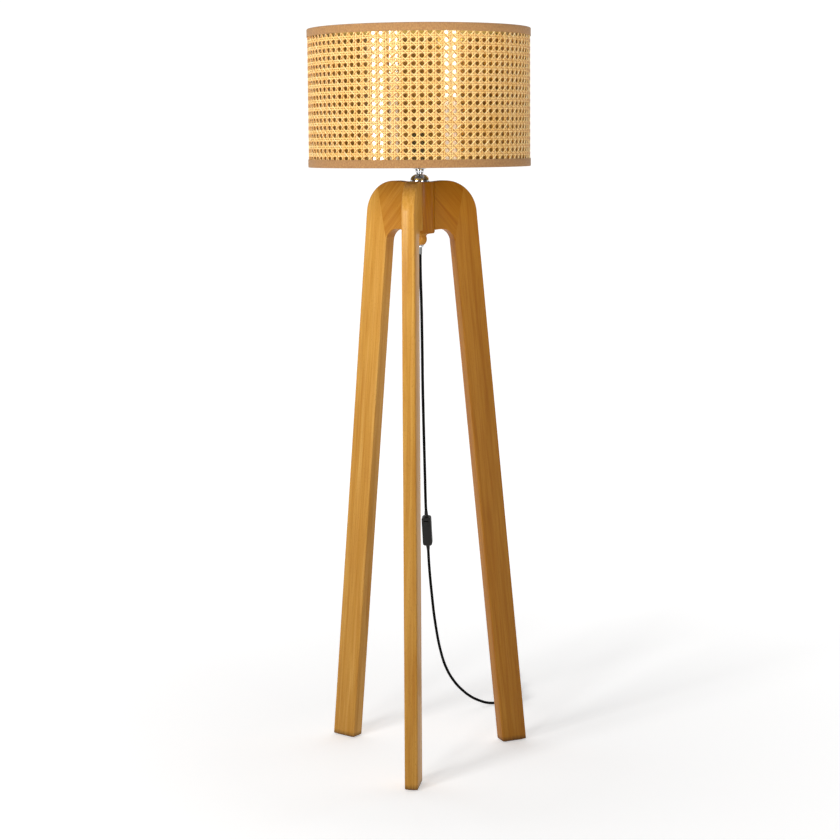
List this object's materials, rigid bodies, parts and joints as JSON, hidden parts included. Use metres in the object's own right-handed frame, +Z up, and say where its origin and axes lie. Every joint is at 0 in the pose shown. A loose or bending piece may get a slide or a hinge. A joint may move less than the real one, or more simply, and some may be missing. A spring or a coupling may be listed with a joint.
{
  "type": "floor lamp",
  "caption": "Tripod floor lamp: flat bent wooden legs round a turned hub, a chromed neck and a drum shade of open octagonal cane weave, with a hanging lead and switch.",
  "frame": {"origin": "on the floor, on the lamp's upright axis, midway between the feet", "axes": "+Z up the axis from the floor to the top of the shade; the front leg points to -Y; +X to the right seen from the front"},
  "size_m": [0.45, 0.8333, 1.5],
  "materials": {
    "beech_wood": "satin lacquer",
    "chrome": "polished",
    "zinc_steel": "zinc plated",
    "brass": "bright",
    "black_plastic": "semi-matt",
    "grey_plastic": "semi-matt",
    "black_rubber": "matt",
    "rattan_cane": "natural, unvarnished",
    "amber_film": "glossy, tinted, translucent",
    "linen_tape": "woven",
    "white_ceramic": "unglazed",
    "brown_insulation": "semi-matt",
    "blue_insulation": "semi-matt"
  },
  "bodies": {
    "stand": {"leg_front": "beech_wood", "foot_pad_front": "black_rubber", "leg_screw_lower_front": "zinc_steel", "leg_screw_upper_front": "zinc_steel", "leg_right": "beech_wood", "foot_pad_right": "black_rubber", "leg_screw_lower_right": "zinc_steel", "leg_screw_upper_right": "zinc_steel", "leg_left": "beech_wood", "foot_pad_left": "black_rubber", "leg_screw_lower_left": "zinc_steel", "leg_screw_upper_left": "zinc_steel", "hub": "beech_wood", "finial": "beech_wood", "threaded_tube": "zinc_steel", "bottom_washer": "chrome", "bottom_nut": "chrome", "cord_grip": "grey_plastic", "bell_cup": "chrome", "neck_spacer": "chrome", "collar_nut": "chrome", "neck_washer": "chrome", "lampholder_cap": "black_plastic", "lampholder_shell": "black_plastic", "lampholder_insulator": "white_ceramic", "screw_shell": "brass", "centre_contact": "brass", "internal_cord": "black_rubber", "live_wire": "brown_insulation", "neutral_wire": "blue_insulation", "switch_base": "black_plastic", "switch_cover": "black_plastic", "switch_screw_1": "zinc_steel", "switch_screw_2": "zinc_steel", "switch_relief_top": "black_rubber", "switch_relief_bottom": "black_rubber", "hank": "black_rubber", "hank_tie": "black_plastic", "cord_to_plug": "black_rubber", "plug_relief": "black_rubber", "plug_body": "black_plastic", "plug_pin_left": "brass", "plug_pin_right": "brass", "cord_to_switch": "black_rubber", "cord_to_hank": "black_rubber"},
    "shade": {"cane_panel": "rattan_cane", "liner": "amber_film", "top_trim": "linen_tape", "bottom_trim": "linen_tape", "top_wire_ring": "zinc_steel", "bottom_wire_ring": "zinc_steel", "fitter_ring": "zinc_steel", "spoke_1": "zinc_steel", "spoke_2": "zinc_steel", "spoke_3": "zinc_steel"},
    "shade_ring": {"shade_ring": "black_plastic"},
    "switch_rocker": {"switch_rocker": "black_plastic"}
  },
  "joints": [
    {"name": "shade_turn", "type": "hinge", "parent": "stand", "child": "shade", "pos_m": [0, 0, 1.2476], "axis": [0, 0, 1], "continuous": true},
    {"name": "shade_ring_turn", "type": "hinge", "parent": "stand", "child": "shade_ring", "pos_m": [0, 0, 1.2527], "axis": [0, 0, 1], "continuous": true},
    {"name": "switch_rock", "type": "hinge", "parent": "stand", "child": "switch_rocker", "pos_m": [-0.00139, 0.08876, 0.47276], "axis": [-0.9999, 0.0037, -0.0135], "range_deg": [0, 14]}
  ]
}
